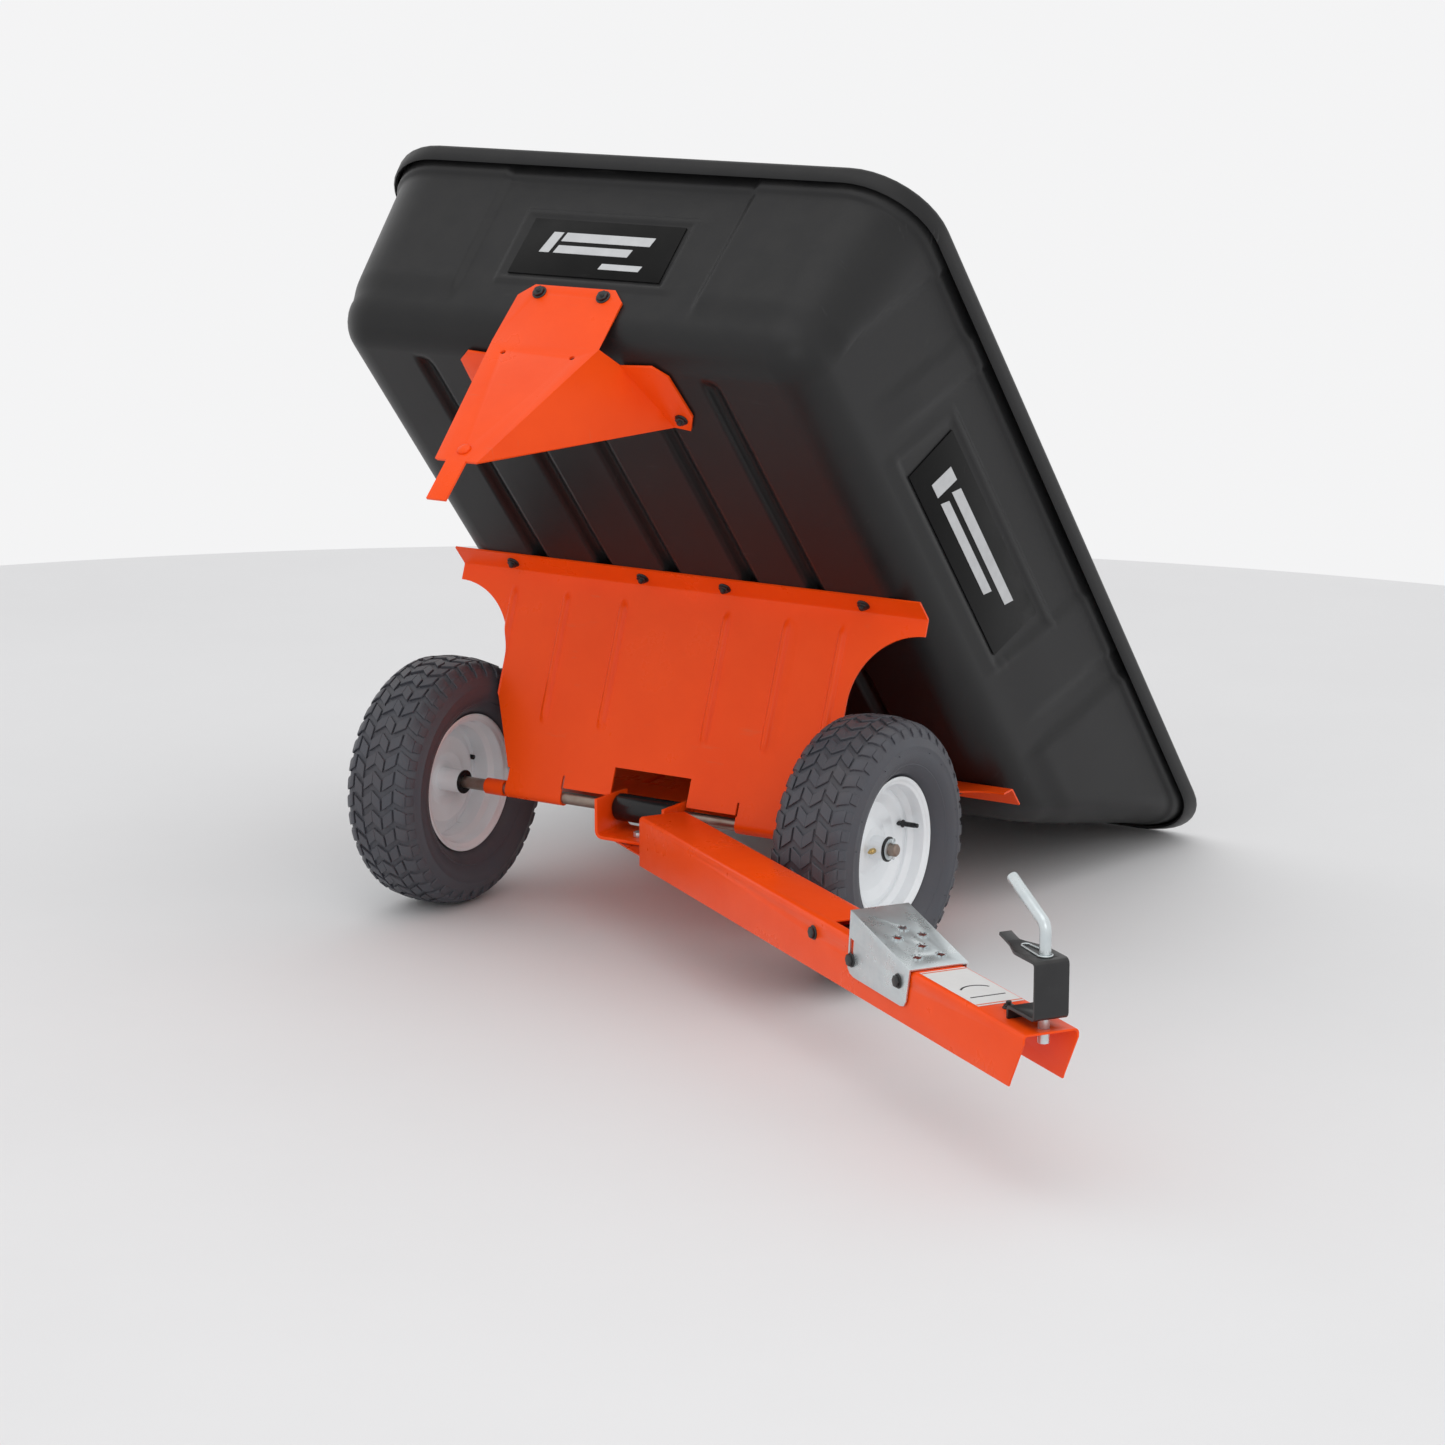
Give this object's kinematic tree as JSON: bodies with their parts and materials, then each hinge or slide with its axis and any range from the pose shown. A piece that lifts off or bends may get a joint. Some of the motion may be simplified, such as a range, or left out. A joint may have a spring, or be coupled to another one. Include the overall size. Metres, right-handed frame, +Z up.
{
  "type": "tow behind cart",
  "caption": "Two-wheeled garden cart with a tipping poly tub on steel supports, a swivelling tow bar with a foot latch and a pin hitch.",
  "frame": {"origin": "on the ground, under the middle of the whole cart's box as it stands tipped out", "axes": "+Z up, +X along the axle to the cart's left-hand side, -Y forward to the towing end"},
  "size_m": [1.6262, 1.818, 1.2371],
  "materials": {
    "orange_paint": "orange powder coat, semi-gloss",
    "black_poly": "black moulded polyethylene with a fine satin texture",
    "black_steel": "black coated steel, satin",
    "black_nylon": "black moulded nylon, slightly glossy",
    "tyre_rubber": "black tyre rubber",
    "wheel_silver": "silver-grey wheel paint",
    "bare_steel": "bare steel with a brownish oil film",
    "zinc_plate": "bright zinc plate",
    "brass": "plain brass",
    "printed_label": "white film label with plain coloured stripes"
  },
  "bodies": {
    "axle": {"axle": "bare_steel", "cotter_left": "zinc_plate", "cotter_right": "zinc_plate", "axle_washer_left": "zinc_plate", "axle_washer_right": "zinc_plate"},
    "wheel_left": {"tyre_left": "tyre_rubber", "rim_left": "wheel_silver", "wheel_disc_left": "wheel_silver", "valve_stem_left": "tyre_rubber", "grease_nipple_left": "brass", "bearing_left_outer": "black_nylon", "bearing_left_inner": "black_nylon"},
    "wheel_right": {"tyre_right": "tyre_rubber", "rim_right": "wheel_silver", "wheel_disc_right": "wheel_silver", "valve_stem_right": "tyre_rubber", "grease_nipple_right": "brass", "bearing_right_outer": "black_nylon", "bearing_right_inner": "black_nylon"},
    "bed": {"tub": "black_poly", "front_support": "orange_paint", "rear_support": "orange_paint", "front_support_bolt_1": "black_steel", "front_support_bolt_2": "black_steel", "front_support_bolt_3": "black_steel", "front_support_bolt_4": "black_steel", "rear_support_bolt_1": "black_steel", "rear_support_bolt_2": "black_steel", "rear_support_bolt_3": "black_steel", "rear_support_bolt_4": "black_steel", "nose_bracket": "orange_paint", "nose_bolt_left": "black_steel", "nose_bolt_right": "black_steel", "wing_bolt_left": "black_steel", "wing_bolt_right": "black_steel", "striker_bolt": "orange_paint", "badge_front": "black_nylon", "badge_left": "black_nylon", "badge_right": "black_nylon"},
    "bracket": {"swivel_bracket": "orange_paint", "axle_bush": "black_nylon"},
    "tongue": {"tongue_channel": "orange_paint", "pivot_channel": "orange_paint", "kingpin": "zinc_plate", "kingpin_washer": "zinc_plate", "tongue_bolt": "black_steel", "pedal_bolt": "black_steel", "stop_bolt": "black_steel", "bar_label": "printed_label", "hitch_bracket": "black_steel", "hitch_bolt": "black_steel"},
    "pedal": {"foot_pedal": "zinc_plate"},
    "pin": {"hitch_pin": "zinc_plate", "pin_clip": "zinc_plate"}
  },
  "joints": [
    {"name": "wheel_left_spin", "type": "hinge", "parent": "axle", "child": "wheel_left", "pos_m": [-0.3146, -0.1268, 0.203], "axis": [1, 0, 0], "continuous": true},
    {"name": "wheel_right_spin", "type": "hinge", "parent": "axle", "child": "wheel_right", "pos_m": [-0.3146, -0.1268, 0.203], "axis": [1, 0, 0], "continuous": true},
    {"name": "bed_tilt", "type": "hinge", "parent": "axle", "child": "bed", "pos_m": [-0.3146, -0.1268, 0.203], "axis": [1, 0, 0], "range_deg": [0, 49.25]},
    {"name": "bracket_pitch", "type": "hinge", "parent": "axle", "child": "bracket", "pos_m": [-0.3146, -0.1268, 0.203], "axis": [-1, 0, 0], "range_deg": [-12, 20]},
    {"name": "tongue_swivel", "type": "hinge", "parent": "bracket", "child": "tongue", "pos_m": [-0.3146, -0.1568, 0.2267], "axis": [0, 0, 1], "range_deg": [-114, 0]},
    {"name": "pedal_press", "type": "hinge", "parent": "tongue", "child": "pedal", "pos_m": [0.5061, -0.6898, 0.2063], "axis": [-0.5446, -0.8387, 0], "range_deg": [0, 10], "stiffness_Nm_per_rad": 3, "springref_deg": -11.46},
    {"name": "pin_lift", "type": "slide", "parent": "tongue", "child": "pin", "axis": [0, 0, 1], "range_m": [0, 0.12]}
  ]
}
